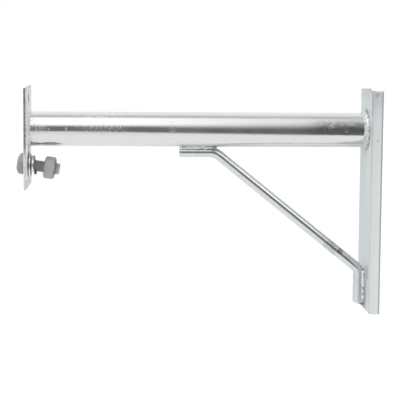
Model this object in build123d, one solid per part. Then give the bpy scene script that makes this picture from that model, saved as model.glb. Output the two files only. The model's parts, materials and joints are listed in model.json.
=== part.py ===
from build123d import *
import os
from math import atan2, cos, radians, sin, sqrt, tan

# Extension arm that carries a fibre cable clear of a pole.
# A round tube is welded between a flat end plate and a shallow channel, and a bent bar braces the tube
# from below. A loose bolt with two washers and a nut hangs in the end plate, ready for a cable clamp.
# Millimetres. X runs along the tube towards the pole, Y across the arm, Z up.
# The origin is on the tube's axis, in the plane of the channel's toes, which bear on the pole.

# Arm as a whole
width = 70.0

# Tube
tube_length = 335.5
tube_diameter = 34.0
tube_wall = 2.5

# End plate
plate_thickness = 2.5
plate_corner_radius = 1.5
bolt_hole_diameter = 14.0
upper_hole_diameter = 9.0
upper_hole_above_tube = 14.0
lower_hole_below_tube = 17.4
plate_above_upper_hole = 11.8
plate_below_lower_hole = 22.8

# Channel that straps to the pole
channel_depth = 10.5
channel_thickness = 3.0
channel_bend_radius = 4.2
channel_toe_radius = 1.8
channel_length = 220.0
channel_above_tube = 23.5

# Brace, one round bar bent twice
bar_diameter = 10.3
brace_reach = 145.9
brace_head_length = 35.6
brace_foot_length = 35.4
brace_foot_margin = 4.3
brace_head_bend_radius = 16.0
brace_foot_bend_radius = 8.0
brace_foot_cut_angle = 22.0
brace_root_gap = 0.3

# Weld rings round the tube's ends: leg along the tube, leg up the plate or web
plate_ring_tube_leg = 2.6
plate_ring_plate_leg = 2.3
channel_ring_tube_leg = 5.6
channel_ring_web_leg = 3.0
ring_crown = 0.5

# Weld beads in the grooves beside the brace
bead_half_width = 5.8
bead_root_half_gap = 1.2
bead_crown = 0.5
bead_bite = 1.0
head_bead_climb_angle = 10.0
foot_bead_climb_angle = 29.0
head_bead_overrun = 1.7
foot_bead_start_below_bend = 1.6
foot_bead_end_margin = 0.6

# Bolt, nut and washers, size M12
hex_sides = 6
bolt_diameter = 11.85
bolt_length = 35.0
bolt_end_chamfer = 1.2
hex_across_flats = 19.2
head_height = 7.0
head_chamfer_start_radius = 6.4
nut_height = 11.2
nut_chamfer_start_radius = 8.7
hex_chamfer_angle = 30.0
nut_place_on_bolt = 19.5
thread_clearance = 0.06
head_turn = -12.0
nut_turn = -11.0
flat_washer_diameter = 24.0
flat_washer_bore = 13.5
flat_washer_thickness = 2.0
flat_washer_stand_off = 0.2
spring_washer_section_width = 4.0
spring_washer_thickness = 2.5
spring_washer_rise = 2.9
spring_washer_slit_angle = 12.0
spring_washer_slit_turn = 46.0
spring_washer_stand_off = 0.65
spring_washer_facets = 36

# Points closer than this are the same corner
same_place = 0.01

# The bolt hangs nose down in its hole
bolt_tilt = 8.4
bolt_play = 0.06

# Levels and planes worked out from the sizes above
tube_radius = tube_diameter / 2
bar_radius = bar_diameter / 2
hole_radius = bolt_hole_diameter / 2
hex_corner_radius = hex_across_flats / 2 / cos(radians(180 / hex_sides))
half_width = width / 2
web_x = -channel_depth
plate_inner_x = web_x - tube_length
plate_outer_x = plate_inner_x - plate_thickness
upper_hole_z = tube_radius + upper_hole_above_tube
lower_hole_z = -tube_radius - lower_hole_below_tube
plate_top_z = upper_hole_z + plate_above_upper_hole
plate_bottom_z = lower_hole_z - plate_below_lower_hole
channel_top_z = tube_radius + channel_above_tube
channel_bottom_z = channel_top_z - channel_length

# Corners of the brace's centre line
head_z = -tube_radius - brace_root_gap - bar_radius
foot_x = web_x - brace_root_gap - bar_radius
foot_end_z = channel_bottom_z + brace_foot_margin
foot_corner_z = foot_end_z + brace_foot_length
head_corner_x = foot_x - brace_reach
head_end_x = head_corner_x - brace_head_length
brace_slope = atan2(head_z - foot_corner_z, brace_reach)


def make_tube():
    outside = Cylinder(tube_radius, tube_length)
    inside = Cylinder(tube_radius - tube_wall, tube_length)
    middle = Pos((web_x + plate_inner_x) / 2, 0, 0)
    return middle * Rot(0, 90, 0) * (outside - inside)


def make_end_plate():
    height = plate_top_z - plate_bottom_z
    outline = RectangleRounded(width, height, plate_corner_radius)
    outline = Pos(0, (plate_top_z + plate_bottom_z) / 2) * outline
    outline -= Pos(0, upper_hole_z) * Circle(upper_hole_diameter / 2)
    outline -= Pos(0, lower_hole_z) * Circle(hole_radius)
    return extrude(Plane.YZ.offset(plate_outer_x) * outline, plate_thickness)


def make_channel():
    inner_radius = channel_bend_radius - channel_thickness
    inner_half = half_width - channel_thickness
    inner_web_x = web_x + channel_thickness
    outline = Polyline(
        (0, -half_width),
        (web_x, -half_width),
        (web_x, half_width),
        (0, half_width),
        (0, inner_half),
        (inner_web_x, inner_half),
        (inner_web_x, -inner_half),
        (0, -inner_half),
        close=True,
    )
    section = make_face(outline)

    def corners(x, y):
        return [v for v in section.vertices() if abs(v.X - x) < same_place and abs(abs(v.Y) - y) < same_place]

    section = fillet(corners(web_x, half_width), channel_bend_radius)
    section = fillet(corners(inner_web_x, inner_half), inner_radius)
    section = fillet(corners(0, half_width), channel_toe_radius)
    return extrude(Plane.XY.offset(channel_bottom_z) * section, channel_length)


def make_brace():
    centre_line = Polyline(
        (head_end_x, 0, head_z),
        (head_corner_x, 0, head_z),
        (foot_x, 0, foot_corner_z),
        (foot_x, 0, foot_end_z - bar_diameter),
    )
    head_bend = centre_line.vertices().sort_by(Axis.X)[1]
    path = Wire(centre_line.edges()).fillet_2d(brace_head_bend_radius, [head_bend])
    foot_bend = [v for v in path.vertices() if abs(v.Z - foot_corner_z) < same_place]
    path = path.fillet_2d(brace_foot_bend_radius, foot_bend)
    section = Plane((head_end_x, 0, head_z), z_dir=(1, 0, 0)) * Circle(bar_radius)
    bar = sweep(section, path=path)
    # The foot is sheared off at a slant, longer on the channel's side
    waste_size = bar_diameter * 4
    waste = Box(waste_size, waste_size, waste_size, align=(Align.CENTER, Align.CENTER, Align.MAX))
    return bar - Pos(foot_x, 0, foot_end_z) * Rot(0, brace_foot_cut_angle, 0) * waste


def weld_ring(face_x, tube_leg, face_leg):
    """Fillet weld round the tube; tube_leg is signed, away from the face."""
    tube_toe = (face_x + tube_leg, tube_radius)
    face_toe = (face_x, tube_radius + face_leg)
    slant = sqrt(tube_leg**2 + face_leg**2)
    crown_x = (tube_toe[0] + face_toe[0]) / 2 + ring_crown * face_leg / slant * (1 if tube_leg > 0 else -1)
    crown_z = (tube_toe[1] + face_toe[1]) / 2 + ring_crown * abs(tube_leg) / slant
    outline = Polyline((face_x, tube_radius), tube_toe, (crown_x, crown_z), face_toe, close=True)
    return revolve(Plane.XZ * make_face(outline), Axis.X)


def groove_bead(section_plane, length, surface_rise, climb_angle):
    """Weld in the groove between the bar and what carries it.

    The section plane has its origin on the bar's axis and its x direction towards the carrier.
    surface_rise(side) is how far the carrier's surface lies from the bar's axis at that side distance.
    """
    climb = radians(climb_angle)
    bar_toe = (bar_radius * sin(climb), -bar_radius * cos(climb))
    carrier_toe = (surface_rise(bead_half_width), -bead_half_width)
    across = (carrier_toe[0] - bar_toe[0], carrier_toe[1] - bar_toe[1])
    slant = sqrt(across[0] ** 2 + across[1] ** 2)
    crown = (
        (bar_toe[0] + carrier_toe[0]) / 2 + bead_crown * across[1] / slant,
        (bar_toe[1] + carrier_toe[1]) / 2 - bead_crown * across[0] / slant,
    )
    bar_root = (bar_radius - bead_bite, -bead_root_half_gap)
    carrier_root = (surface_rise(bead_root_half_gap) + bead_bite, -bead_root_half_gap)
    outline = Polyline(bar_toe, crown, carrier_toe, carrier_root, bar_root, close=True)
    return extrude(section_plane * make_face(outline), length)


def make_head_bead(tube_blank, brace):
    def rise(side):
        return bar_radius + brace_root_gap + tube_radius - sqrt(tube_radius**2 - side**2)

    length = brace_head_length + head_bead_overrun
    start = Plane((head_end_x + length, 0, head_z), x_dir=(0, 0, 1), z_dir=(-1, 0, 0))
    bead = groove_bead(start, length, rise, head_bead_climb_angle)
    return bead - tube_blank - brace


def make_foot_bead(channel, brace):
    def rise(side):
        return bar_radius + brace_root_gap

    bottom_z = foot_end_z + foot_bead_end_margin
    top_z = foot_corner_z - foot_bead_start_below_bend
    start = Plane((foot_x, 0, bottom_z), x_dir=(1, 0, 0), z_dir=(0, 0, 1))
    bead = groove_bead(start, top_z - bottom_z, rise, foot_bead_climb_angle)
    return bead - channel - brace


def hex_blank(height, turn, start_radius, both_ends):
    """Hexagon along X from 0 to height, its corners chamfered at the far end or at both."""
    corner_radius = hex_corner_radius
    hexagon = RegularPolygon(corner_radius, hex_sides, rotation=180 / hex_sides)
    prism = extrude(Plane.YZ * Rot(0, 0, turn) * hexagon, height)
    drop = (corner_radius - start_radius) * tan(radians(hex_chamfer_angle))
    near_end = [(0, 0), (0, corner_radius)]
    if both_ends:
        near_end = [(0, 0), (0, start_radius), (drop, corner_radius)]
    far_end = [(height - drop, corner_radius), (height, start_radius), (height, 0)]
    outline = Polyline(*near_end, *far_end, close=True)
    turned = revolve(Plane.XZ * make_face(outline), Axis.X)
    return prism & turned


def make_bolt():
    """Bolt along X with the underside of its head at the origin."""
    head = Rot(0, 0, 180) * hex_blank(head_height, head_turn, head_chamfer_start_radius, False)
    shank = extrude(Plane.YZ * Circle(bolt_diameter / 2), bolt_length)
    tip = shank.edges().filter_by(GeomType.CIRCLE).sort_by(Axis.X)[-1]
    return head + chamfer(tip, bolt_end_chamfer)


def make_nut():
    """Nut along X at its place on the bolt."""
    blank = hex_blank(nut_height, nut_turn, nut_chamfer_start_radius, True)
    bore = Rot(0, 90, 0) * Cylinder(bolt_diameter / 2 + thread_clearance, nut_height * 3)
    return Pos(nut_place_on_bolt, 0, 0) * (blank - bore)


def make_flat_washer(left_x, centre_z):
    ring = Circle(flat_washer_diameter / 2) - Circle(flat_washer_bore / 2)
    return extrude(Plane.YZ.offset(left_x) * Pos(0, centre_z) * ring, flat_washer_thickness)


def make_spring_washer(bore, centre_x, centre_z):
    """Split washer: a flat bar wound one turn left-handed, its ends sprung apart."""
    middle_radius = (bore + spring_washer_section_width) / 2
    turn = 360 - spring_washer_slit_angle
    bar = Rectangle(spring_washer_section_width, spring_washer_thickness)

    def section(share):
        angle = radians(-turn * share)
        outwards = (cos(angle), sin(angle), 0)
        place = (middle_radius * cos(angle), middle_radius * sin(angle), spring_washer_rise * share)
        return Plane(origin=place, x_dir=outwards, z_dir=(-sin(angle), cos(angle), 0)) * bar

    shares = [i / spring_washer_facets for i in range(spring_washer_facets + 1)]
    washer = loft([section(share) for share in shares], ruled=True)
    # Stood along X the washer starts at the bottom and climbs the front first
    washer = Rot(0, 90, 0) * Pos(0, 0, -spring_washer_rise / 2) * washer
    slit_place = spring_washer_slit_turn + spring_washer_slit_angle / 2
    return Pos(centre_x, 0, centre_z) * Rot(-slit_place, 0, 0) * washer


# Where the tilted bolt lies: its shank rests on the lower inner edge of its hole
tilt = radians(bolt_tilt)
shank_half_height = bolt_diameter / 2 / cos(tilt)
bolt_z_at_inner_face = lower_hole_z - hole_radius + shank_half_height + bolt_play
seat_x = plate_outer_x - hex_corner_radius * sin(tilt) - bolt_play
seat_z = bolt_z_at_inner_face + (plate_inner_x - seat_x) * tan(tilt)
bolt_place = Pos(seat_x, 0, seat_z) * Rot(0, bolt_tilt, 0)


def bolt_axis_z(x):
    return seat_z - (x - seat_x) * tan(tilt)


# Both washers hang on the shank, a little apart from the plate and from each other
flat_washer_left_x = plate_inner_x + flat_washer_stand_off
flat_washer_z = bolt_axis_z(flat_washer_left_x) + shank_half_height - flat_washer_bore / 2 + bolt_play
spring_height = spring_washer_rise + spring_washer_thickness
spring_left_x = flat_washer_left_x + flat_washer_thickness + spring_washer_stand_off
spring_centre_x = spring_left_x + spring_height / 2
spring_bore = 2 * shank_half_height + spring_height * tan(tilt) + 2 * bolt_play

tube_blank = Pos((web_x + plate_inner_x) / 2, 0, 0) * Rot(0, 90, 0) * Cylinder(tube_radius, tube_length)
channel = make_channel()
brace = make_brace()
head_bead = make_head_bead(tube_blank, brace)
foot_bead = make_foot_bead(channel, brace)

parts = {
    "tube": make_tube(),
    "end_plate": make_end_plate(),
    "pole_channel": channel,
    "brace_bar": brace,
    "plate_weld_ring": weld_ring(plate_inner_x, plate_ring_tube_leg, plate_ring_plate_leg),
    "channel_weld_ring": weld_ring(web_x, -channel_ring_tube_leg, channel_ring_web_leg),
    "brace_head_weld_front": head_bead,
    "brace_head_weld_rear": mirror(head_bead, about=Plane.XZ),
    "brace_foot_weld_front": foot_bead,
    "brace_foot_weld_rear": mirror(foot_bead, about=Plane.XZ),
    "hex_bolt": bolt_place * make_bolt(),
    "hex_nut": bolt_place * make_nut(),
    "flat_washer": make_flat_washer(flat_washer_left_x, flat_washer_z),
    "spring_washer": make_spring_washer(spring_bore, spring_centre_x, bolt_axis_z(spring_centre_x)),
}

os.makedirs("parts", exist_ok=True)
for name, shape in parts.items():
    export_step(shape, f"parts/{name}.step")
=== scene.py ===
import json
from math import atan2, ceil, cos, degrees, pi, radians, sin, sqrt, tan

import bmesh
import bpy
from mathutils import Matrix, Vector, noise


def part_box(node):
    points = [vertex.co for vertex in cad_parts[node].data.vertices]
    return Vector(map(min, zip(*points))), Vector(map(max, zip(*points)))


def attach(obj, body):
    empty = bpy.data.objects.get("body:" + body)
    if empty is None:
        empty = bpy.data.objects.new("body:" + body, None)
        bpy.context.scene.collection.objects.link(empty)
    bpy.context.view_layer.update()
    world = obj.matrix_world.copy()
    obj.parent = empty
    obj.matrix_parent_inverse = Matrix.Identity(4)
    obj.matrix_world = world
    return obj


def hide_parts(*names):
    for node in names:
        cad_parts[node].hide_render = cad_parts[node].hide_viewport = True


# Extension arm that carries a fibre cable clear of a pole, hung in the air over a pale studio floor.
# Lengths are in millimetres and angles in degrees until a mesh is made. X runs along the tube towards
# the pole, Y across the arm, Z up, and the camera looks at the arm's -Y side.

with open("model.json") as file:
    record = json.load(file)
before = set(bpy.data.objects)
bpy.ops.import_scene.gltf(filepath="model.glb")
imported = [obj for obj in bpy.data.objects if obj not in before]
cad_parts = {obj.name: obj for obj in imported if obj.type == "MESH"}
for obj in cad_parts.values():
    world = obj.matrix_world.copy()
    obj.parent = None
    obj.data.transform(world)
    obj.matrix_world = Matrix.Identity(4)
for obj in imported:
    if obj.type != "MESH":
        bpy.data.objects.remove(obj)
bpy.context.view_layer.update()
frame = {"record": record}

MM = 0.001

# Camera
camera_place = (-244.727, -1274.72, 91.037)
camera_heading = 3.057
camera_pitch = -5.431
camera_roll = 0.471
lens_length = 116.01
sensor_width = 36.0
picture_shift = -0.1

# Studio: the floor ends in front of the arm, where a dark room begins
floor_level = -550.0
floor_front = -800.0
floor_reach = 9000.0
floor_colour = 0.66
floor_glow = 0.22

# Brightness of the studio's lights and walls, where the floor is 1
key_level = 4.2
low_key_level = 2.2
middle_box_level = 1.52
middle_box_slope = -0.068
right_box_level = 1.5
room_level_left = 0.19
room_level_right = 0.12
back_wall_level = 1.1
back_ceiling_level = 0.66
back_foot_level = 0.45
side_wall_level = 0.85
side_dark_level = 0.3

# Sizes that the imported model's boxes don't tell
tube_wall = 2.5
plate_corner_radius = 1.5
lower_hole_below_tube = 17.4
lower_hole_radius = 7.0
channel_thickness = 3.0
channel_bend_radius = 4.2
channel_toe_radius = 1.8
brace_root_gap = 0.3
brace_reach = 145.9
brace_head_length = 35.6
brace_foot_length = 35.4
brace_foot_margin = 4.3
brace_head_bend_radius = 16.0
brace_foot_bend_radius = 8.0
brace_foot_cut_angle = 22.0
bead_half_width = 5.8
bead_root_half_gap = 1.2
bead_crown = 0.5
bead_end_length = 2.5
head_bead_climb_angle = 36.0
foot_bead_climb_angle = 29.0

# Bolt set, size M12
hex_sides = 6
bolt_diameter = 11.85
bolt_length = 35.0
bolt_end_chamfer = 1.2
bolt_tilt = 8.4
bolt_play = 0.06
thread_pitch = 1.75
thread_depth = 0.85
thread_rows_per_turn = 10
hex_across_flats = 19.2
hex_edge_radius = 0.6
head_height = 7.0
head_edge_ease = 0.35
head_chamfer_start_radius = 6.4
head_first_corner = 42.0
nut_height = 11.2
nut_chamfer_start_radius = 8.7
nut_place_on_bolt = 19.5
nut_first_corner = 19.0
nut_bore_chamfer = 0.7
hex_chamfer_angle = 30.0
washer_bore = 13.5
washer_edge_radius = 0.28
spring_section_width = 4.0
spring_thickness = 2.2
spring_rise = 2.9
spring_slit_angle = 12.0
spring_slit_turn = 46.0
spring_stand_off = 0.95
spring_rise_power = 2.2

# Finish of the edges and surfaces
sheet_edge_radius = 0.35
bar_edge_radius = 0.5
zinc_unevenness = 0.06
sheet_unevenness = 0.12
cut_unevenness = 0.22
cut_unevenness_reach = 3.0
wave_stretch = 3.0
ripple_pitch = 1.9
ripple_height = 0.34
lump_height = 0.4
lump_size = 2.6
ring_bulge = 0.55
toe_wander = 0.16
# Dark colour for dirt and for painted shade
dirt_and_shade_colour = (0.16, 0.17, 0.18)

# Density of the meshes: counts of sides and rows, and spacings in millimetres
tube_sides = 180
tube_rows = 280
hole_points = 64
plate_edge_spacing = 2.0
half_web_points = 24
channel_rows = 150
bar_sides = 64
bar_row_spacing = 1.5
ring_weld_columns = 300
bead_face_steps = 12
bead_row_spacing = 0.3
flat_washer_sides = 160
spring_rows = 150
merge_distance = 0.001


def box(node):
    """Lowest and highest corner of a node, in millimetres."""
    low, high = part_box(node)
    return low / MM, high / MM


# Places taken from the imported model
tube_low, tube_high = box("tube")
plate_low, plate_high = box("end_plate")
channel_low, channel_high = box("pole_channel")
tube_radius = tube_high.z
bar_radius = box("brace_bar")[1].y
web_x = channel_low.x
upper_hole = next(m for m in frame["record"]["mounts"] if m["name"] == "upper_hole")
upper_hole_z = upper_hole["pos_m"][2] / MM
upper_hole_radius = upper_hole["dims"]["r_mm"]
lower_hole_z = -tube_radius - lower_hole_below_tube
weld_ring_radius = box("channel_weld_ring")[1].z
hex_half_angle = pi / hex_sides
hex_corner_radius = hex_across_flats / 2 / cos(hex_half_angle)

# Scuffs on the near side of the tube, each a place, a radius and a strength
tube_scuffs = (
    ((-338.0, -17.0, 1.0), 16.0, 1.0),
    ((-326.0, -17.0, 1.1), 2.2, 1.0),
    ((-308.5, -17.0, 1.2), 2.2, 1.0),
    ((-272.0, -16.0, 5.0), 30.0, 0.75),
    ((-204.0, -17.0, 0.0), 5.0, 0.9),
    ((-48.7, -16.4, 3.6), 4.5, 0.7),
    ((-32.8, -17.0, 0.9), 3.0, 0.7),
)

# Shade on the web above the brace's foot, painted shade where the near welds end, a hammer mark on the brace
# and spots below it
foot_shade_place = (web_x, -19.0, -140.5)
weld_end_shade_spots = (((-12.2, -5.0, -174.9), 3.0), ((-162.7, -6.0, -17.8), 3.6))
brace_mark_place = (-35.4, -4.2, -121.2)
brace_spots_place = (-46.5, -4.0, -119.0)

# Marks on the channel's near flange: a yellow stain by its upper end and a pit beside the tube
stain_place = (web_x + 0.8, channel_low.y + 2.0, channel_high.z - 2.6)
pit_place = (web_x + 5.4, channel_low.y, -8.0)


def rough(place, wave_length, seed=0.0):
    """Smooth random value from about -1 to 1 that changes over the wave length."""
    return noise.noise(Vector(place) / wave_length + Vector((seed, 2 * seed, 3 * seed)))


def steps_between(start, end, count):
    return [start + (end - start) * i / count for i in range(count + 1)]


def arc(centre, radius, start, end, count):
    """Points of an arc in a plane, its angles in degrees."""
    return [
        Vector((centre[0] + radius * cos(radians(a)), centre[1] + radius * sin(radians(a))))
        for a in steps_between(start, end, count)
    ]


def around_x(x, radius, angle, centre_z=0.0):
    """Point on a circle round an axis along X; the angle is in radians, from +Y towards +Z."""
    return Vector((x, radius * cos(angle), centre_z + radius * sin(angle)))


def loop_x(x, radius, angles):
    """Points of a circle round the X axis, one at each of the angles."""
    return [around_x(x, radius, angle) for angle in angles]


def round_angles(count):
    """Angles in radians, spread evenly all the way round."""
    return [2 * pi * j / count for j in range(count)]


def skin(rows, joined=False):
    """Faces between neighbouring rows of points, each row a closed loop.

    The rows are joined round into a ring, or else the first and last are closed with a face each.
    """
    count = len(rows[0])
    points = [point for row in rows for point in row]
    faces = []
    for i in range(len(rows) if joined else len(rows) - 1):
        here = i * count
        there = (i + 1) % len(rows) * count
        for j in range(count):
            k = (j + 1) % count
            faces.append((here + j, here + k, there + k, there + j))
    if not joined:
        faces.append(tuple(range(count)))
        faces.append(tuple(range(len(points) - count, len(points))))
    return points, faces


def face_outwards(mesh, merge=False):
    """Turns a mesh's normals outwards, if asked after merging points that lie in the same place."""
    work = bmesh.new()
    work.from_mesh(mesh)
    if merge:
        bmesh.ops.remove_doubles(work, verts=work.verts, dist=merge_distance * MM)
    bmesh.ops.recalc_face_normals(work, faces=work.faces)
    work.to_mesh(mesh)
    work.free()


def make_mesh(name, points, faces, place=Matrix()):
    """Mesh in metres with outward normals, from points in millimetres that are moved to their place."""
    mesh = bpy.data.meshes.new(name)
    mesh.from_pydata([place @ Vector(point) * MM for point in points], [], faces)
    face_outwards(mesh)
    return mesh


def add_object(name, data):
    thing = bpy.data.objects.new(name, data)
    bpy.context.scene.collection.objects.link(thing)
    return thing


def add_piece(name, mesh, node, materials, sharp_angle=38.0, finish_of=None):
    """Puts a mesh in the scene in place of its node; finish_of picks a face's material."""
    piece = add_object(name, mesh)
    for material in materials:
        mesh.materials.append(material)
    if finish_of is not None:
        for face in mesh.polygons:
            face.material_index = finish_of(face.center / MM, face.normal)
    mesh.shade_smooth()
    mesh.set_sharp_from_angle(angle=radians(sharp_angle))
    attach(piece, "root")
    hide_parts(node)


class NodeTree:
    """Short forms for wiring a node tree."""

    def __init__(self, owner):
        owner.use_nodes = True
        self.tree = owner.node_tree
        self.tree.nodes.clear()

    def plug(self, socket, value):
        """Links an output to a socket or sets its value; a colour leaves out its alpha."""
        if isinstance(value, bpy.types.NodeSocket):
            self.tree.links.new(value, socket)
        elif socket.type == "RGBA":
            socket.default_value = (*value, 1.0)
        else:
            socket.default_value = value

    def node(self, kind, inputs=None, **settings):
        node = self.tree.nodes.new(kind)
        for name, value in settings.items():
            setattr(node, name, value)
        for name, value in (inputs or {}).items():
            self.plug(node.inputs[name], value)
        return node

    def math(self, operation, *values):
        return self.node("ShaderNodeMath", dict(enumerate(values)), operation=operation).outputs[0]

    def chain(self, operation, first, *others):
        """Joins values by an operation, one after another."""
        for other in others:
            first = self.math(operation, first, other)
        return first

    def times(self, *values):
        return self.chain("MULTIPLY", *values)

    def plus(self, *values):
        return self.chain("ADD", *values)

    def most(self, *values):
        return self.chain("MAXIMUM", *values)

    def apart(self, value, place):
        """Distance between a value and a place."""
        return self.math("ABSOLUTE", self.math("SUBTRACT", value, place))

    def step(self, value, low, high, start=0.0, end=1.0):
        """Goes smoothly from start to end as the value goes from low to high."""
        inputs = {"Value": value, "From Min": low, "From Max": high, "To Min": start, "To Max": end}
        return self.node("ShaderNodeMapRange", inputs, interpolation_type="SMOOTHSTEP").outputs["Result"]

    def fade(self, value, low, high):
        """Goes smoothly from 1 to 0 as the value goes from low to high."""
        return self.step(value, low, high, 1.0, 0.0)

    def band(self, value, low, full, full_end, high):
        """1 from full to full_end, going smoothly to 0 at low and at high."""
        return self.times(self.step(value, low, full), self.fade(value, full_end, high))

    def blend(self, factor, a, b):
        """Number between a and b."""
        return self.node("ShaderNodeMix", {0: factor, 2: a, 3: b}, data_type="FLOAT").outputs[0]

    def colour(self, factor, a, b):
        """Colour between a and b."""
        return self.node("ShaderNodeMix", {0: factor, 6: a, 7: b}, data_type="RGBA").outputs[2]


class Finish(NodeTree):
    """A procedural material whose textures are measured in millimetres of the arm's own frame."""

    def __init__(self, name):
        self.material = bpy.data.materials.new(name)
        super().__init__(self.material)
        place = self.node("ShaderNodeTexCoord").outputs["Object"]
        scale = self.node("ShaderNodeVectorMath", {"Scale": 1 / MM, 0: place}, operation="SCALE")
        self.place = scale.outputs[0]
        self.axes = self.node("ShaderNodeSeparateXYZ", {0: self.place}).outputs
        self.x, self.y, self.z = self.axes
        self.shader = self.node("ShaderNodeBsdfPrincipled")
        self.node("ShaderNodeOutputMaterial", {"Surface": self.shader.outputs[0]})

    def set(self, **inputs):
        for name, value in inputs.items():
            self.plug(self.shader.inputs[name.replace("_", " ").title()], value)

    def paint(self, tone):
        """Sets the base colour and keeps it for what is painted over it."""
        self.tone = tone
        self.set(base_color=tone)

    def darken(self, amount):
        """Mixes the base colour towards the dark colour of dirt and painted shade, by an amount from 0 to 1.
        """
        self.paint(self.colour(amount, self.tone, dirt_and_shade_colour))

    def grain(self, size, detail=2.0, stretch=(1.0, 1.0, 1.0), turn=(0.0, 0.0, 0.0)):
        """Noise from 0 to 1 with lumps of a size in millimetres, longer where stretch is above 1."""
        mapping = {"Vector": self.place, "Rotation": [radians(a) for a in turn]}
        mapping["Scale"] = [1 / size / part for part in stretch]
        vector = self.node("ShaderNodeMapping", mapping).outputs[0]
        inputs = {"Vector": vector, "Scale": 1.0, "Detail": detail}
        return self.node("ShaderNodeTexNoise", inputs).outputs["Fac"]

    def hairlines(self, size, width, stretch, turn):
        """1 on thin winding lines and 0 between them."""
        field = self.grain(size, detail=1.0, stretch=stretch, turn=turn)
        return self.fade(self.apart(field, 0.5), 0.0, width)

    def bump(self, height, depth, strength):
        inputs = {"Height": height, "Distance": depth * MM, "Strength": strength}
        self.set(normal=self.node("ShaderNodeBump", inputs).outputs[0])

    def from_axis(self, centre_z=0.0, narrowing=1.0):
        """A point's distance in millimetres from an axis along X, with Y counted less by the narrowing."""
        across = self.times(self.y, narrowing)
        rise = self.math("SUBTRACT", self.z, centre_z)
        return self.math("SQRT", self.math("MULTIPLY_ADD", rise, rise, self.times(across, across)))

    def near(self, centre, radius):
        """1 at a spot of the arm, fading to 0 at the radius."""
        gap = self.node("ShaderNodeVectorMath", {0: self.place, 1: centre}, operation="DISTANCE")
        return self.fade(gap.outputs["Value"], radius / 2, radius)


def tube_finish():
    """Bright drawn zinc with long streaks, hairline scratches, speckled patches and a painted dark reflection
    on its right end.
    """
    zinc = Finish("bright_zinc_tube")
    streaks = zinc.grain(1.5, detail=3.0, stretch=(30.0, 1.0, 1.0))
    patches = zinc.step(zinc.grain(26.0, stretch=(1.6, 1.0, 1.0)), 0.42, 0.62, 0.12, 0.5)
    patches = zinc.times(patches, zinc.step(zinc.x, -90.0, -50.0, 1.0, 0.35))
    scuffs = [zinc.times(zinc.near(place, radius), strength) for place, radius, strength in tube_scuffs]
    speckle = zinc.step(zinc.grain(1.3, detail=4.0, stretch=(1.4, 1.0, 1.0)), 0.38, 0.66)
    scratches = zinc.hairlines(14.0, 0.006, stretch=(1.0, 2.2, 2.2), turn=(20.0, 35.0, 0.0))
    worn = zinc.times(zinc.most(patches, *scuffs), speckle)
    worn = zinc.most(worn, zinc.times(scratches, 0.3))
    base = zinc.colour(streaks, (0.65, 0.665, 0.665), (0.71, 0.715, 0.71))
    zinc.paint(zinc.colour(zinc.times(worn, 0.5), base, (0.82, 0.82, 0.79)))

    # Painted dark reflection, broken up by noise: it lies in the dark band that the right end mirrors
    painted_dark_reflection = zinc.step(zinc.grain(3.0, detail=4.0, stretch=(2.0, 1.0, 1.0)), 0.35, 0.6, 0.15, 0.5)
    at_right = zinc.step(zinc.x, -72.0, -54.0)
    zinc.darken(zinc.times(painted_dark_reflection, at_right, zinc.band(zinc.z, -1.0, 4.0, 7.0, 12.0)))

    # The underside is duller, most of all from the brace's head to the right
    under = zinc.step(zinc.z, -15.0, -10.5, 0.55, 0.0)
    under = zinc.times(under, zinc.step(zinc.x, head_end_x - 60.0, head_end_x, 0.6, 1.0))
    zinc.set(metallic=zinc.blend(worn, 1.0, 0.8))
    zinc.set(roughness=zinc.most(zinc.blend(worn, 0.11, 0.36), under))
    waves = zinc.grain(7.0, stretch=(2.0, 1.0, 1.0))
    zinc.bump(zinc.plus(zinc.times(worn, 0.08), zinc.times(streaks, 0.5), waves), 0.05, 0.6)
    return zinc.material


def sheet_finish(name, dark, light, rough_low, rough_high):
    """Satin zinc on rolled sheet, cloudy and faintly streaked."""
    zinc = Finish(name)
    clouds = zinc.grain(14.0, detail=3.0, stretch=(1.0, 1.0, 2.5))
    rolling = zinc.grain(0.7, stretch=(1.0, 1.0, 40.0))
    zinc.paint(zinc.colour(zinc.blend(0.35, clouds, rolling), dark, light))
    zinc.set(metallic=0.1, roughness=zinc.blend(clouds, rough_low, rough_high))
    zinc.bump(zinc.plus(rolling, clouds), 0.02, 0.4)
    return zinc


def end_smudges(zinc):
    """Smudges by the channel's upper end, from 0 to 1."""
    smudges = zinc.step(zinc.grain(3.0, detail=4.0), 0.3, 0.75, 0.0, 0.9)
    near_edge = zinc.step(zinc.y, -32.0, -24.0, 1.0, 0.3)
    return zinc.times(smudges, near_edge, zinc.step(zinc.z, channel_high.z - 14, channel_high.z - 3))


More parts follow.
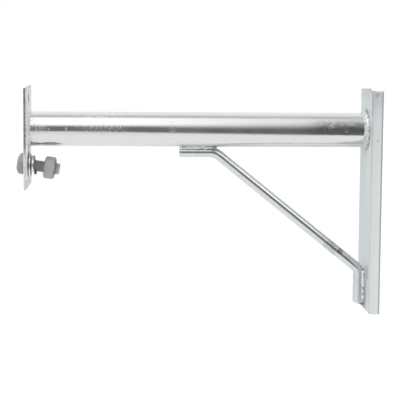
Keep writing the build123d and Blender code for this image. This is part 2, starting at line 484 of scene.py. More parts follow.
def web_finish():
    """The channel's web: a painted dark reflection along the bend, painted shade round the weld and by the
    foot, darker below.
    """
    zinc = sheet_finish("pale_zinc_web", (0.58, 0.63, 0.65), (0.68, 0.73, 0.75), 0.4, 0.52)
    clouds = zinc.grain(5.0, detail=3.0)
    # Painted dark reflection along the start of the bend
    bend_dark_reflection = zinc.fade(zinc.apart(zinc.y, channel_bend_radius - channel_high.y), 0.5, 2.4)
    bend_dark_reflection = zinc.times(bend_dark_reflection, zinc.step(zinc.z, -60.0, 0.0, 0.4, 0.8))
    # Painted shade along the toe of the tube's weld, wider on the near side
    toe_width = zinc.step(zinc.y, -24.0, -14.0, 6.0, 2.6)
    toe_shade_line = zinc.step(zinc.apart(zinc.from_axis(), weld_ring_radius), 0.6, toe_width, 0.9, 0.0)
    toe_shade_line = zinc.times(toe_shade_line, zinc.step(zinc.z, -20.0, -10.0, 0.3, 0.8))
    lines = zinc.times(zinc.most(bend_dark_reflection, toe_shade_line), zinc.step(clouds, 0.25, 0.5, 0.5, 1.0))
    # Painted shade on the web beside and above the brace's foot
    shade_by_foot = zinc.step(zinc.apart(zinc.y, -bead_half_width), 2.0, 20.0, 0.65, 0.0)
    shade_by_foot = zinc.times(shade_by_foot, zinc.fade(zinc.z, -146.0, -136.0))
    shade_above_foot = zinc.times(zinc.near(foot_shade_place, 11.0), 0.5)
    below = zinc.step(zinc.z, -90.0, 15.0, 0.16, 0.0)
    zinc.darken(zinc.most(lines, shade_by_foot, shade_above_foot, below, end_smudges(zinc)))
    return zinc.material


def flange_finish():
    """The channel's flanges and bends, smudged by the upper end, with a stain and a pit on the near one."""
    zinc = sheet_finish("pale_zinc_flange", (0.68, 0.712, 0.71), (0.78, 0.815, 0.808), 0.45, 0.56)
    # Greyer towards the top, and painted shade on the near bend
    grey = zinc.plus(
        zinc.step(zinc.z, -60.0, 30.0, 0.0, 0.08),
        zinc.step(zinc.z, 8.0, channel_high.z, 0.0, 0.22),
        zinc.step(zinc.x, web_x + 0.3, web_x + 7.0, 0.27, 0.03),
    )
    zinc.darken(zinc.most(grey, end_smudges(zinc), zinc.near(pit_place, 0.9)))
    stain = zinc.times(zinc.near(stain_place, 2.6), 0.45)
    zinc.paint(zinc.colour(stain, zinc.tone, (0.5, 0.52, 0.25)))
    return zinc.material


def plate_finish():
    """The end plate's inner face, with painted shade round the washer and greyer below."""
    zinc = sheet_finish("pale_zinc_plate", (0.82, 0.85, 0.85), (0.95, 0.97, 0.97), 0.3, 0.42)
    # Painted shade round the washer, with a ragged edge
    from_bolt = zinc.from_axis(lower_hole_z, 0.75)
    ragged = zinc.math("MULTIPLY_ADD", zinc.grain(3.0, detail=3.0), 6.0, from_bolt)
    below = zinc.step(zinc.z, lower_hole_z - 15.0, lower_hole_z - 11.0, 0.34, 0.0)
    zinc.darken(zinc.most(zinc.fade(ragged, 15.5, 19.5), below))
    return zinc.material


def sheared_finish():
    """The end plate's cut edge, grey and torn above and paler below as a painted reflection."""
    zinc = Finish("sheared_zinc_edge")
    tear = zinc.step(zinc.grain(1.3, detail=3.0, stretch=(1.0, 1.0, 2.0)), 0.35, 0.65)
    bare = zinc.colour(tear, (0.13, 0.14, 0.14), (0.3, 0.31, 0.3))
    # Paler below as a painted reflection
    paler_painted_reflection = zinc.colour(tear, (0.6, 0.62, 0.64), (0.74, 0.76, 0.76))
    zinc.paint(zinc.colour(zinc.fade(zinc.z, -28.0, -12.0), bare, paler_painted_reflection))
    # Painted shade inside the upper hole
    in_hole = zinc.near((plate_high.x, 0.0, upper_hole_z), 2.2 * upper_hole_radius)
    zinc.darken(zinc.times(in_hole, 0.6))
    zinc.set(metallic=0.3, roughness=0.45)
    zinc.bump(tear, 0.08, 0.6)
    return zinc.material


def toe_finish():
    """The rolled toes of the channel, where the zinc is thin and scuffed."""
    zinc = Finish("scuffed_zinc_toe")
    scuffs = zinc.grain(1.1, detail=3.0, stretch=(1.0, 1.0, 2.5))
    zinc.paint(zinc.colour(scuffs, (0.3, 0.32, 0.32), (0.52, 0.54, 0.54)))
    zinc.set(metallic=0.2, roughness=0.45)
    zinc.bump(scuffs, 0.1, 0.6)
    return zinc.material


def bar_finish():
    """Bright zinc on drawn bar, matt by the foot, with a hammer mark and dark spots."""
    zinc = Finish("bright_zinc_bar")
    along = zinc.grain(1.2, detail=3.0, stretch=(8.0, 1.0, 8.0), turn=(0.0, degrees(brace_slope), 0.0))
    patches = zinc.step(zinc.grain(16.0), 0.42, 0.6)
    speckle = zinc.grain(0.8, detail=3.0)
    zinc.paint(zinc.colour(along, (0.635, 0.66, 0.665), (0.715, 0.735, 0.73)))
    matt = zinc.step(zinc.z, foot_corner_z - 4.0, foot_corner_z + 10.0, 0.48, 0.0)
    bright = zinc.blend(zinc.times(patches, speckle), 0.11, 0.26)
    zinc.set(metallic=zinc.step(zinc.z, foot_corner_z - 8.0, foot_corner_z + 4.0, 0.7, 0.88))
    zinc.set(roughness=zinc.most(bright, matt))
    mark = zinc.times(zinc.near(brace_mark_place, 4.0), zinc.step(speckle, 0.35, 0.55, 0.4, 0.9))
    spots = zinc.times(zinc.near(brace_spots_place, 11.0), zinc.step(speckle, 0.45, 0.55, 0.0, 0.7))
    zinc.darken(zinc.most(mark, spots, zinc.step(speckle, 0.45, 0.6, 0.0, 0.2)))
    zinc.bump(zinc.plus(along, zinc.times(speckle, 0.7)), 0.05, 0.6)
    return zinc.material


def weld_finish(name, hollow_shade, lump, metallic, depth, stretch=(1.0, 1.0, 1.0), toe=None):
    """Zinc over weld metal: painted highlight on the lumps, painted shade in the hollows, at the welds' ends
    and along a toe.

    toe names an axis and the places along it where the toe's painted shade line begins and is darkest.
    """
    zinc = Finish(name)
    lumps = zinc.grain(2.0, stretch=stretch)
    pores = zinc.grain(0.9)
    # The tone follows the bump's lumps: painted highlight on them and painted shade in the hollows
    tone = zinc.step(zinc.blend(0.3, lumps, pores), 0.36, 0.6)
    zinc.paint(zinc.colour(tone, (hollow_shade, hollow_shade, hollow_shade), (lump - 0.03, lump, lump + 0.01)))
    # Painted shade at the near welds' ends
    weld_shade_marks = [zinc.times(zinc.near(place, radius), 0.65) for place, radius in weld_end_shade_spots]
    if toe:
        axis, begin, darkest = toe
        # Painted shade along the weld's toe
        toe_shade_line = zinc.step(zinc.axes[axis], begin, darkest, 0.0, 0.8)
        weld_shade_marks.append(zinc.times(toe_shade_line, zinc.step(lumps, 0.35, 0.6, 1.0, 0.25)))
    zinc.darken(zinc.most(*weld_shade_marks))
    zinc.set(metallic=metallic, roughness=zinc.blend(lumps, 0.24, 0.42))
    zinc.bump(zinc.plus(lumps, zinc.times(pores, 0.3)), depth, 0.8)
    return zinc.material


def dull_finish(name, dark, light):
    """Dull hot-dip zinc of the bolt set, grey and faintly grainy."""
    zinc = Finish(name)
    clouds = zinc.grain(4.0, detail=3.0)
    pores = zinc.grain(0.35)
    zinc.paint(zinc.colour(clouds, dark, light))
    zinc.set(metallic=0.0, roughness=zinc.blend(pores, 0.45, 0.62))
    zinc.bump(zinc.plus(pores, clouds), 0.05, 0.5)
    return zinc.material


def washer_finish():
    """Bright zinc of the washers' rims."""
    zinc = Finish("bright_zinc_washer")
    turned = zinc.grain(0.3, stretch=(1.0, 20.0, 20.0))
    zinc.paint(zinc.colour(turned, (0.85, 0.86, 0.86), (0.95, 0.96, 0.95)))
    zinc.set(metallic=0.8, roughness=zinc.blend(turned, 0.2, 0.32))
    zinc.bump(turned, 0.02, 0.5)
    return zinc.material


def make_tube():
    """The tube, its wall closed at both ends, its skin very slightly uneven."""
    angles = round_angles(tube_sides)
    rows = []
    for x in steps_between(tube_low.x, tube_high.x, tube_rows):
        row = []
        for angle in angles:
            wave = rough((x / wave_stretch, tube_radius * cos(angle), tube_radius * sin(angle)), 16.0) - 1
            row.append(around_x(x, tube_radius + zinc_unevenness * wave / 2, angle))
        rows.append(row)
    rows += [loop_x(x, tube_radius - tube_wall, angles) for x in (tube_high.x, tube_low.x)]
    mesh = make_mesh("arm_tube", *skin(rows, joined=True))
    add_piece("arm_tube", mesh, "tube", [tube_finish()])


def plate_outline():
    """Points round the plate, dense enough for its cut edge to wander a little."""
    size = plate_high - plate_low
    centre = Vector((0, (plate_low.z + plate_high.z) / 2))
    corners = rounded_section(size.y, size.z, plate_corner_radius)
    outline = []
    for begin, end in zip(corners, corners[1:] + corners[:1]):
        count = ceil((end - begin).length / plate_edge_spacing)
        for i in range(count):
            p = begin.lerp(end, i / count)
            wander = (rough((p.x, p.y + centre.y, 0), 7.0) - 1) / 2
            outline.append(centre + p * (1 + cut_unevenness * wander / plate_high.y))
    return outline


def make_end_plate():
    """The end plate as a bevelled flat outline with its two holes."""
    curve = bpy.data.curves.new("plate_outline", "CURVE")
    curve.dimensions = "2D"
    curve.fill_mode = "BOTH"
    thickness = plate_high.x - plate_low.x
    curve.extrude = (thickness / 2 - sheet_edge_radius) * MM
    curve.bevel_depth = sheet_edge_radius * MM
    curve.bevel_resolution = 2
    curve.offset = -sheet_edge_radius * MM
    loops = [plate_outline()]
    for z, radius in ((upper_hole_z, upper_hole_radius), (lower_hole_z, lower_hole_radius)):
        loops.append(arc((0, z), radius, 0, 360, hole_points)[:-1])
    for loop in loops:
        spline = curve.splines.new("POLY")
        spline.points.add(len(loop) - 1)
        for target, point in zip(spline.points, loop):
            target.co = (point.x * MM, point.y * MM, 0, 1)
        spline.use_cyclic_u = True
    drawing = add_object("plate_outline", curve)
    bpy.context.view_layer.update()
    mesh = bpy.data.meshes.new_from_object(drawing.evaluated_get(bpy.context.evaluated_depsgraph_get()))
    bpy.data.objects.remove(drawing)
    # The drawing's X and Y become the plate's Y and Z
    upright = Matrix(((0, 0, 1, 0), (1, 0, 0, 0), (0, 1, 0, 0), (0, 0, 0, 1)))
    mesh.transform(Matrix.Translation(((plate_low.x + plate_high.x) / 2 * MM, 0, 0)) @ upright)
    face_outwards(mesh, merge=True)

    def finish_of(centre, normal):
        in_hole = abs(centre.y) < plate_high.y / 2 and plate_low.z + 2 < centre.z < plate_high.z - 2
        if abs(normal.y) > 0.95 or (in_hole and abs(normal.x) < 0.9):
            return 1
        return 2 if normal.x < -0.9 else 0

    # The outer face is a darker copy of the plate's zinc, as painted shade
    back = sheet_finish("pale_zinc_plate_back_shade", (0.46, 0.48, 0.5), (0.6, 0.62, 0.63), 0.36, 0.5)
    materials = [plate_finish(), sheared_finish(), back.material]
    add_piece("arm_end_plate", mesh, "end_plate", materials, 50.0, finish_of)


def channel_section(inset):
    """The channel's section in X and Y, drawn in by an inset all round."""
    half = channel_high.y
    outer = channel_bend_radius
    inner = outer - channel_thickness
    toe = channel_toe_radius - inset
    deep = web_x + channel_thickness
    side = half - channel_thickness
    front = channel_high.x
    outside = arc((front - channel_toe_radius, -half + channel_toe_radius), toe, 0, -90, 5)
    outside += arc((web_x + outer, -half + outer), outer - inset, -90, -180, 8)
    edge = outside[-1]
    outside += [edge.lerp(Vector((edge.x, 0)), i / half_web_points) for i in range(1, half_web_points)]
    far_side = [Vector((p.x, -p.y)) for p in outside]
    inside = [Vector((front - inset, side + inset))]
    inside += arc((deep + inner, side - inner), inner + inset, 90, 180, 5)
    inside += [Vector((p.x, -p.y)) for p in reversed(inside)]
    return [*outside, Vector((web_x + inset, 0)), *reversed(far_side), *inside]


def make_channel():
    """The pole channel, bent from sheet, its cut ends eased and a little ragged."""
    low = channel_low.z
    high = channel_high.z
    edge = sheet_edge_radius
    eased = [(edge * (1 - sin(radians(a))), edge * (1 - cos(radians(a)))) for a in (0, 45)]
    levels = [(low + rise, inset) for inset, rise in eased]
    levels += [(z, 0.0) for z in steps_between(low + edge, high - edge, channel_rows)]
    levels += [(high - rise, inset) for inset, rise in reversed(eased)]
    rows = []
    for z, inset in levels:
        upper = z > (low + high) / 2
        end = min(z - low, high - z)
        row = []
        for p in channel_section(inset):
            wave = sheet_unevenness * rough((p.x, p.y, z / wave_stretch), 15.0) / 2
            # The two ends are ragged each in its own way
            ragged = (1 - rough((p.x, p.y, 9 * upper), 5.0)) / 2
            lift = cut_unevenness * ragged * max(0, 1 - end / cut_unevenness_reach)
            on_web = abs(p.y) <= channel_high.y - channel_bend_radius
            row.append(Vector((max(p.x + wave * on_web, web_x), p.y, z - lift if upper else z + lift)))
        rows.append(row)
    mesh = make_mesh("arm_channel", *skin(rows))

    def finish_of(centre, normal):
        if centre.x > -channel_toe_radius - 0.9:
            return 2
        return 0 if normal.x < -0.93 else 1

    materials = [web_finish(), flange_finish(), toe_finish()]
    add_piece("arm_channel", mesh, "pole_channel", materials, 50.0, finish_of)


# Corners of the brace's centre line
head_z = -tube_radius - brace_root_gap - bar_radius
foot_x = web_x - brace_root_gap - bar_radius
foot_end_z = channel_low.z + brace_foot_margin
foot_corner_z = foot_end_z + brace_foot_length
head_corner_x = foot_x - brace_reach
head_end_x = head_corner_x - brace_head_length
brace_slope = atan2(head_z - foot_corner_z, brace_reach)


def straight_stations(begin, end, heading):
    count = ceil((end - begin).length / bar_row_spacing)
    return [(begin.lerp(end, i / count), heading) for i in range(count + 1)]


def brace_path():
    """Points and headings along the bar's centre line in X and Z, from its head to its foot."""
    bends = (
        (Vector((head_corner_x, head_z)), 0.0, -brace_slope, brace_head_bend_radius),
        (Vector((foot_x, foot_corner_z)), -brace_slope, -pi / 2, brace_foot_bend_radius),
    )
    stations = []
    begin = Vector((head_end_x, head_z))
    for corner, heading, new_heading, radius in bends:
        setback = radius * tan((heading - new_heading) / 2)
        arc_start = corner - Vector((cos(heading), sin(heading))) * setback
        stations += straight_stations(begin, arc_start, heading)
        centre = arc_start + radius * Vector((sin(heading), -cos(heading)))
        for turned in steps_between(heading, new_heading, 10)[1:]:
            offset = radius * Vector((-sin(turned), cos(turned)))
            stations.append((centre + offset, turned))
        begin = stations[-1][0]
    return stations + straight_stations(begin, Vector((foot_x, foot_end_z)), -pi / 2)[1:]


def bar_ring(place, heading, radius):
    """Points round the bar at a place of its centre line in X and Z."""
    row = []
    for angle in round_angles(bar_sides):
        off = radius * sin(angle)
        row.append(Vector((place.x - sin(heading) * off, radius * cos(angle), place.y + cos(heading) * off)))
    return row


def make_brace():
    """The bent bar, with an eased square head and a foot sheared off at a slant."""
    rows = []
    for turn in (0, 30, 60):
        ease = bar_edge_radius * (1 - sin(radians(turn)))
        back = bar_edge_radius * (1 - cos(radians(turn)))
        rows.append(bar_ring(Vector((head_end_x + back, head_z)), 0.0, bar_radius - ease))
    for place, heading in brace_path():
        if place.x < head_end_x + bar_edge_radius:
            continue
        row = bar_ring(place, heading, bar_radius)
        rows.append([p + Vector((0, 0, zinc_unevenness * (rough(p, 9.0) - 1) / 2)) for p in row])
    slant = tan(radians(brace_foot_cut_angle))
    clear = foot_end_z + bar_radius * slant + bar_row_spacing
    rows = [row for row in rows if min(p.z for p in row) > clear or max(p.z for p in row) > foot_corner_z]
    for ease, rise in ((0.0, 1.0), (0.3, 0.3), (1.0, 0.0)):
        row = bar_ring(Vector((foot_x, 0)), -pi / 2, bar_radius - bar_edge_radius * ease)
        bottom = foot_end_z + bar_edge_radius * rise
        rows.append([Vector((p.x, p.y, bottom - (p.x - foot_x) * slant)) for p in row])
    mesh = make_mesh("arm_brace", *skin(rows))
    add_piece("arm_brace", mesh, "brace_bar", [bar_finish()])


def ripple(along, across, seed):
    """Height of a weld's frozen waves at a place on the bead.

    along is in millimetres and across goes from 0 to 1 between the toes.
    """
    wander = 0.35 * rough((along, 0, 0), 5.0, seed)
    phase = along / ripple_pitch + 1.2 * (across - 0.5) ** 2 + wander
    wave = abs(sin(pi * phase))
    lump = rough((along, across * 5, 0), lump_size, seed + 1)
    return sin(pi * across) ** 0.6 * (ripple_height * (wave - 0.6) + lump_height * lump)


def bead_row(profile, along, seed, swell=1.0):
    """The bead's open face with its waves; profile gives a point and an outward direction."""
    row = []
    for across in steps_between(0.0, 1.0, bead_face_steps):
        point, outward = profile(across)
        row.append(point + outward * ripple(along, across, seed) * swell)
    return row


def make_ring_weld(name, face_x, seed, finish):
    """Weld round the end of the tube, its section a bulging quarter between tube and sheet."""
    node = f"{name}_ring"
    low, high = box(node)
    side = 1 if high.x > face_x + 0.1 else -1
    tube_leg = high.x - low.x
    face_leg = high.z - tube_radius
    columns = []
    for angle in round_angles(ring_weld_columns):
        seam = tube_radius * Vector((cos(angle), sin(angle), 0))
        reach = 1 - toe_wander * (1 + rough(seam, 6.0, seed)) / 2
        climb = 1 - toe_wander * (1 + rough(seam, 5.0, seed + 5)) / 2

        def profile(across):
            quarter = pi / 2 * across
            bulge = Vector((cos(quarter), sin(quarter)))
            shape = Vector((1 - across, across)).lerp(bulge, ring_bulge)
            outward = Vector((shape.x / tube_leg, shape.y / face_leg)).normalized()
            return Vector((shape.x * tube_leg * reach, shape.y * face_leg * climb)), outward

        column = [*bead_row(profile, tube_radius * angle, seed), Vector((0, 0))]
        columns.append([
            around_x(face_x + side * max(p.x, 0.0), tube_radius + max(p.y, 0.0), angle) for p in column
        ])
    rows = [list(row) for row in zip(*columns)]
    mesh = make_mesh(name, *skin(rows, joined=True))
    add_piece(name, mesh, node, [finish], 60.0)


def groove_section(along, length, climb_angle, surface_rise, seed):
    """Section of a groove weld at a distance along it, as make_groove_welds describes it."""
    swell = sqrt(min(1.0, min(along, length - along) / bead_end_length + 0.02))
    half_width = bead_half_width * (0.8 + 0.2 * swell) * (1 + 0.05 * rough((along, 0, 0), 4.0, seed))
    lift = radians(climb_angle) * (1 + 0.3 * rough((along, 5, 0), 5.0, seed))
    bar_toe = Vector((bar_radius * sin(lift), bar_radius * cos(lift)))
    chord = Vector((surface_rise(half_width), half_width)) - bar_toe
    outward = Vector((-chord.y, chord.x)).normalized()
    if outward.y < 0:
        outward = -outward

    def profile(across):
        crown = bead_crown * 4 * across * (1 - across) * swell
        return bar_toe + chord * across + outward * crown, outward

    # Behind the open face the bead follows the carrier in to its root and the bar back out
    behind = [Vector((surface_rise(w), w)) for w in steps_between(half_width, bead_root_half_gap, 5)[1:]]
    root = atan2(bead_root_half_gap, bar_radius)
    back_out = steps_between(root, pi / 2 - lift, 6)[:-1]
    behind += [Vector((bar_radius * cos(a), bar_radius * sin(a))) for a in back_out]
    return bead_row(profile, along, seed, swell) + behind


def make_groove_welds(part, climb_angle, surface_rise, point_at, axis, seed, finish):
    """Welds in the grooves on both sides of the bar, between it and what carries it.

    In the section, x runs from the bar's axis towards the carrier and y out to the side. surface_rise gives
    the carrier's x at a y. point_at turns the weld's lowest corner, a distance along it and a section's x
    and y into a point of the arm, and axis is the arm's axis that the weld runs along.
    """
    for side, where in ((-1, "front"), (1, "rear")):
        name = f"{part}_weld_{where}"
        low, high = box(f"brace_{name}")
        length = high[axis] - low[axis]
        rows = []
        for along in steps_between(0.0, length, ceil(length / bead_row_spacing)):
            section = groove_section(along, length, climb_angle, surface_rise, seed + side)
            rows.append([point_at(low, along, p.x, side * p.y) for p in section])
        mesh = make_mesh(name, *skin(rows))
        add_piece(name, mesh, f"brace_{name}", [finish], 60.0)


def rise_to_tube(across):
    return bar_radius + brace_root_gap + tube_radius - sqrt(tube_radius**2 - across**2)


def rise_to_web(across):
    return bar_radius + brace_root_gap


def head_point(low, along, x, y):
    return Vector((low.x + along, y, head_z + x))


def foot_point(low, along, x, y):
    return Vector((foot_x + x, y, low.z + along))


# Where the bolt lies, nose down, its shank resting on the inner edge of its hole
tilt = radians(bolt_tilt)
shank_half_height = bolt_diameter / 2 / cos(tilt)
seat_x = plate_low.x - hex_corner_radius * sin(tilt) - bolt_play
rise_to_seat = (plate_high.x - seat_x) * tan(tilt)
seat_z = lower_hole_z - lower_hole_radius + shank_half_height + bolt_play + rise_to_seat
bolt_place = Matrix.Translation((seat_x, 0, seat_z)) @ Matrix.Rotation(tilt, 4, "Y")

# A hexagon's rounded corner: how far its centre lies from the axis, and the angle where its round ends
corner_centre = (hex_across_flats / 2 - hex_edge_radius) / cos(hex_half_angle)
corner_end = atan2(
    hex_edge_radius * sin(hex_half_angle), corner_centre + hex_edge_radius * cos(hex_half_angle)
)


def hex_angles(first_corner):
    """Angles round a hexagon in radians, closer together at its rounded corners."""
    offsets = steps_between(-corner_end, corner_end, 4)
    offsets += steps_between(corner_end, 2 * hex_half_angle - corner_end, 10)[1:-1]
    corners = [radians(first_corner) + 2 * hex_half_angle * k for k in range(hex_sides)]
    return [corner + offset for corner in corners for offset in offsets]


def hex_radius(angle, first_corner):
    """Distance from the axis to the hexagon's side or rounded corner."""
    offset = (angle - radians(first_corner) + hex_half_angle) % (2 * hex_half_angle) - hex_half_angle
    if abs(offset) < corner_end:
        return corner_centre * cos(offset) + sqrt(hex_edge_radius**2 - (corner_centre * sin(offset)) ** 2)
    return hex_across_flats / 2 / cos(hex_half_angle - abs(offset))


def chamfer_rows(first_corner, end_x, direction, start_radius):
    """Rows from the hexagon's sides over its rounded edge and cone to the flat of its end.

    direction is 1 where the end faces +X and -1 where it faces -X.
    """
    slope = tan(radians(hex_chamfer_angle))
    ease = hex_edge_radius / 2

    def edge_x(radius):
        return end_x - direction * max(0.0, radius - start_radius) * slope

    angles = hex_angles(first_corner)
    radii = [hex_radius(a, first_corner) for a in angles]
    side = [around_x(edge_x(r) - direction * ease, r, a) for r, a in zip(radii, angles)]
    over = [around_x(edge_x(r - ease), r - ease, a) for r, a in zip(radii, angles)]
    cone = loop_x(edge_x(start_radius + ease), start_radius + ease, angles)
    return [side, over, cone, loop_x(end_x, start_radius - ease, angles)]


def thread_radius(x, angle):
    """Distance from the axis to the thread, which has a flat crest and root, at a place along the bolt."""
    phase = (x / thread_pitch - angle / (2 * pi)) % 1.0
    ridge = min(1.0, max(0.0, 1.35 - abs(phase - 0.5) * 3.6))
    fade = min(1.0, (bolt_length - x) / thread_pitch)
    return bolt_diameter / 2 - thread_depth * (1 - ridge) * fade


def make_bolt():
    """Hexagon bolt, threaded up to its head."""
    angles = hex_angles(head_first_corner)
    tip_radius = bolt_diameter / 2 - bolt_end_chamfer
    # The face of the tip and its eased edge
    rows = [
        loop_x(bolt_length, tip_radius * 0.5, angles),
        loop_x(bolt_length, tip_radius - 0.2, angles),
        loop_x(bolt_length - 0.15, tip_radius, angles),
    ]
    for x in steps_between(bolt_length - 0.3, 0.0, ceil(bolt_length / thread_pitch * thread_rows_per_turn)):
        limit = tip_radius + (bolt_length - x)
        rows.append([around_x(x, min(limit, thread_radius(x, a)), a) for a in angles])
    for ease in (head_edge_ease, 0.0):
        under_head = ease - head_edge_ease
        rows.append([around_x(under_head, hex_radius(a, head_first_corner) - ease, a) for a in angles])
    rows += chamfer_rows(head_first_corner, -head_height, -1, head_chamfer_start_radius)
    rows.append(loop_x(-head_height, head_chamfer_start_radius / 2, angles))
    mesh = make_mesh("bolt", *skin(rows), bolt_place)
    backwards = bolt_place.inverted()

    def finish_of(centre, normal):
        along = (backwards @ centre).x
        if along < 0:
            return 0
        return 1 if along < nut_place_on_bolt + nut_height else 2

    # The head's zinc is painted darker than the thread's, as painted shade
    materials = [
        dull_finish("dull_zinc_head_shade", (0.235, 0.24, 0.235), (0.295, 0.3, 0.295)),
        dull_finish("dull_zinc_thread", (0.31, 0.305, 0.315), (0.38, 0.375, 0.38)),
        dull_finish("dull_zinc_tip", (0.42, 0.41, 0.42), (0.52, 0.5, 0.51)),
    ]
    add_piece("bolt", mesh, "hex_bolt", materials, 40.0, finish_of)


def make_nut():
    """Hexagon nut, chamfered at both ends and countersunk at its bore."""
    angles = hex_angles(nut_first_corner)
    near = nut_place_on_bolt
    far = near + nut_height
    bore = bolt_diameter / 2 + bolt_play
    rows = chamfer_rows(nut_first_corner, near, -1, nut_chamfer_start_radius)[::-1]
    rows += chamfer_rows(nut_first_corner, far, 1, nut_chamfer_start_radius)
    mouth = bore + nut_bore_chamfer
    inside = ((far, mouth), (far - nut_bore_chamfer, bore), (near + nut_bore_chamfer, bore), (near, mouth))
    rows += [loop_x(x, radius, angles) for x, radius in inside]
    mesh = make_mesh("nut", *skin(rows, joined=True), bolt_place)
    axis = bolt_place.to_3x3() @ Vector((1, 0, 0))

    def finish_of(centre, normal):
        return 1 if normal.dot(axis) > 0.3 else 0

    nut_zinc = dull_finish("dull_zinc", (0.36, 0.37, 0.35), (0.43, 0.44, 0.42))
    # The end that faces along the bolt is painted darker, as painted shade
    nut_end_shade = dull_finish("dull_zinc_nut_end_shade", (0.19, 0.195, 0.19), (0.27, 0.275, 0.265))
    add_piece("nut", mesh, "hex_nut", [nut_zinc, nut_end_shade], 40.0, finish_of)


def rounded_section(width, height, radius):
    """Closed loop of a rectangle with rounded corners about the origin."""
    w = width / 2 - radius
    h = height / 2 - radius
    corners = ((w, h, 0), (-w, h, 90), (-w, -h, 180), (w, -h, 270))
    return [p for x, y, start in corners for p in arc((x, y), radius, start, start + 90, 4)]


def add_washer(name, node, mesh, axis_z):
    """Adds a washer with its rims bright and its sides and ends painted dark as painted shade."""

    def finish_of(centre, normal):
        outwards = Vector((0, centre.y, centre.z - axis_z)).normalized()
        return 0 if abs(normal.dot(outwards)) > 0.35 else 1

    add_piece(name, mesh, node, [bright_washer, washer_side_shade], 40.0, finish_of)


def make_flat_washer():
    """Flat washer with bright rims and sides painted dark as painted shade."""
    low, high = box("flat_washer")
    centre_z = (low.z + high.z) / 2
    middle_x = (low.x + high.x) / 2
    bore = washer_bore / 2
    middle = (high.y + bore) / 2
    section = rounded_section(high.x - low.x, high.y - bore, washer_edge_radius)
    columns = [
        [around_x(middle_x + p.x, middle + p.y, angle, centre_z) for p in section]
        for angle in round_angles(flat_washer_sides)
    ]
    add_washer("washer_flat", "flat_washer", make_mesh("washer_flat", *skin(columns, joined=True)), centre_z)


def make_spring_washer():
    """Split washer: a flat bar wound one turn, its ends sprung apart towards the camera."""
    height = spring_rise + spring_thickness
    left_x = box("flat_washer")[1].x + spring_stand_off
    centre_x = left_x + height / 2
    centre_z = seat_z - (centre_x - seat_x) * tan(tilt)
    bore = 2 * shank_half_height + height * tan(tilt) + 2 * bolt_play
    middle = (bore + spring_section_width) / 2
    section = rounded_section(spring_thickness, spring_section_width, washer_edge_radius)
    turn = 360 - spring_slit_angle
    start = spring_slit_turn + spring_slit_angle / 2
    rows = []
    for turned in steps_between(0.0, turn, spring_rows):
        # Turns are counted from straight down towards the camera
        angle = radians(-90 - start - turned)
        x = left_x + spring_thickness / 2 + spring_rise * (turned / turn) ** spring_rise_power
        rows.append([around_x(x + p.x, middle + p.y, angle, centre_z) for p in section])
    add_washer("washer_split", "spring_washer", make_mesh("washer_split", *skin(rows)), centre_z)


def make_camera():
    data = bpy.data.cameras.new("camera")
    data.lens = lens_length
    data.sensor_width = sensor_width
    data.shift_y = picture_shift
    data.clip_end = 2 * floor_reach * MM
    camera = add_object("camera", data)
    heading = Matrix.Rotation(-radians(camera_heading), 4, "Z")
    pitch = Matrix.Rotation(radians(90 + camera_pitch), 4, "X")
    roll = Matrix.Rotation(radians(camera_roll), 4, "Z")
    camera.matrix_world = Matrix.Translation(Vector(camera_place) * MM) @ heading @ pitch @ roll
    bpy.context.scene.camera = camera


def make_floor():
    """Pale floor under and behind the arm, with a faint glow of its own like a lit table."""
    left, right, back = -floor_reach, floor_reach, floor_reach
    corners = [(left, floor_front), (right, floor_front), (right, back), (left, back)]
    mesh = make_mesh("floor", [(x, y, floor_level) for x, y in corners], [(0, 1, 2, 3)])
    floor = add_object("floor", mesh)
    paint = Finish("pale_floor")
    paint.set(base_color=(floor_colour, floor_colour, floor_colour), roughness=0.9)
    paint.set(emission_color=(1.0, 1.0, 1.0), emission_strength=floor_glow)
    mesh.materials.append(paint.material)


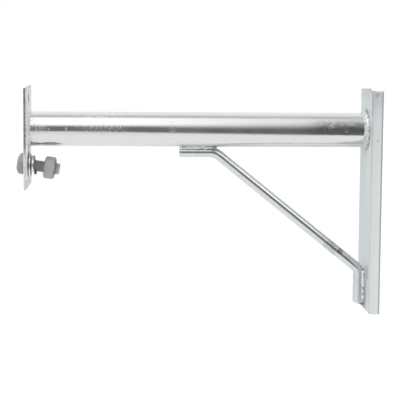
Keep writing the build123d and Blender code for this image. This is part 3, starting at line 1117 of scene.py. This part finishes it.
def make_studio():
    """Soft light from all round: a bright softbox in front on the left with two dimmer ones beside it,
    pale walls behind and at the sides, and the dark of the room low down.

    Its places are angles in degrees: elevation above the horizon and slant to the right of the middle.
    """
    world = bpy.data.worlds.new("studio")
    bpy.context.scene.world = world
    sky = NodeTree(world)
    direction = sky.node("ShaderNodeTexCoord").outputs["Generated"]
    parts = sky.node("ShaderNodeSeparateXYZ", {0: direction}).outputs
    elevation = sky.math("DEGREES", sky.math("ARCSINE", parts["Z"]))
    slant = sky.math("DEGREES", sky.math("ARCSINE", parts["X"]))
    rightwards = sky.most(slant, 0.0)

    # Softboxes in front: the middle one fades and lifts towards the right, where another begins
    box_level = sky.math("MULTIPLY_ADD", rightwards, middle_box_slope, middle_box_level)
    box_level = sky.most(box_level, sky.step(slant, 12.0, 24.0, 0.78, right_box_level))
    key = sky.band(slant, -42.0, -34.0, -18.0, -8.0)
    box_level = sky.blend(key, box_level, key_level)
    lift = sky.most(sky.math("SUBTRACT", rightwards, 6.0), 0.0)
    box_bottom = sky.math("MINIMUM", sky.math("MULTIPLY_ADD", lift, 3.2, 27.0), 40.0)
    box_softness = sky.math("MINIMUM", sky.math("MULTIPLY_ADD", rightwards, 3.0, 12.0), 30.0)
    other_box = sky.step(slant, 13.0, 22.0)
    box_bottom = sky.blend(other_box, box_bottom, 20.0)
    box_softness = sky.blend(other_box, box_softness, 4.0)
    box_start = sky.math("SUBTRACT", box_bottom, box_softness)
    box_end = sky.plus(box_bottom, box_softness)

    # The dark of the room, which reaches further down on the right
    room_level = sky.step(slant, 2.0, 10.0, room_level_left, room_level_right)
    low_key = sky.band(slant, -46.0, -38.0, -26.0, -16.0)
    room_level = sky.blend(low_key, room_level, low_key_level)
    dark_bottom = sky.math("MULTIPLY_ADD", slant, -1.6, -16.0)
    dark_bottom = sky.most(sky.math("MINIMUM", dark_bottom, -11.0), -34.0)
    dark_start = sky.math("SUBTRACT", dark_bottom, 5.0)
    dark_end = sky.plus(dark_bottom, 5.0)
    low_level = sky.blend(sky.step(elevation, dark_start, dark_end), 1.0, room_level)
    front = sky.blend(sky.step(elevation, box_start, box_end), low_level, box_level)

    # Pale walls behind, dimming towards the ceiling and dark along their foot
    back = sky.step(elevation, 48.0, 86.0, back_wall_level, back_ceiling_level)
    back = sky.times(back, sky.step(slant, 14.0, 30.0, 1.0, 0.85))
    back_foot = sky.band(elevation, -6.0, 0.0, 10.0, 20.0)
    back = sky.blend(back_foot, back, back_foot_level)
    level = sky.blend(sky.step(parts["Y"], -0.14, 0.02), front, back)

    # Walls on both sides, dark at the arm's height
    side = sky.blend(sky.step(elevation, -18.0, -10.0), 1.0, side_dark_level)
    side = sky.blend(sky.step(elevation, 14.0, 26.0), side, side_wall_level)
    sideways = sky.most(sky.fade(slant, -52.0, -44.0), sky.step(slant, 50.0, 56.0))
    level = sky.blend(sideways, level, side)

    seen = sky.node("ShaderNodeLightPath").outputs["Is Camera Ray"]
    level = sky.blend(seen, level, 1.0)
    background = sky.node("ShaderNodeBackground", {"Color": (1.0, 1.0, 1.0), "Strength": level})
    sky.node("ShaderNodeOutputWorld", {"Surface": background.outputs[0]})
    bpy.context.scene.view_settings.view_transform = "Standard"


# Where the painted shade along the welds' toes begins and is darkest
channel_toe_shade = ("X", web_x - 1.9, web_x - 0.7)
head_toe_shade = ("Z", head_z + 4.2, head_z + 3.2)
# The plate weld's lumps are painted near white as a painted highlight
plate_ring_zinc_highlight = weld_finish("zinc_on_plate_weld", 0.62, 0.98, 0.1, 0.3)
channel_ring_zinc = weld_finish("zinc_on_channel_weld", 0.4, 0.64, 0.35, 0.35, toe=channel_toe_shade)
head_zinc = weld_finish("zinc_on_head_weld", 0.42, 0.84, 0.5, 0.5, (2.6, 1.0, 1.0), head_toe_shade)
foot_zinc = weld_finish("zinc_on_foot_weld", 0.34, 0.76, 0.7, 0.4, (1.0, 1.0, 1.6))
bright_washer = washer_finish()
# The washers' sides and ends, painted dark as painted shade
washer_side_shade = dull_finish("dark_zinc_washer_side", (0.06, 0.06, 0.065), (0.13, 0.13, 0.14))

make_camera()
make_studio()
make_floor()
make_tube()
make_end_plate()
make_channel()
make_brace()
make_ring_weld("plate_weld", plate_high.x, 1.0, plate_ring_zinc_highlight)
make_ring_weld("channel_weld", web_x, 2.0, channel_ring_zinc)
make_groove_welds("head", head_bead_climb_angle, rise_to_tube, head_point, 0, 3.0, head_zinc)
make_groove_welds("foot", foot_bead_climb_angle, rise_to_web, foot_point, 2, 8.0, foot_zinc)
make_bolt()
make_nut()
make_flat_washer()
make_spring_washer()
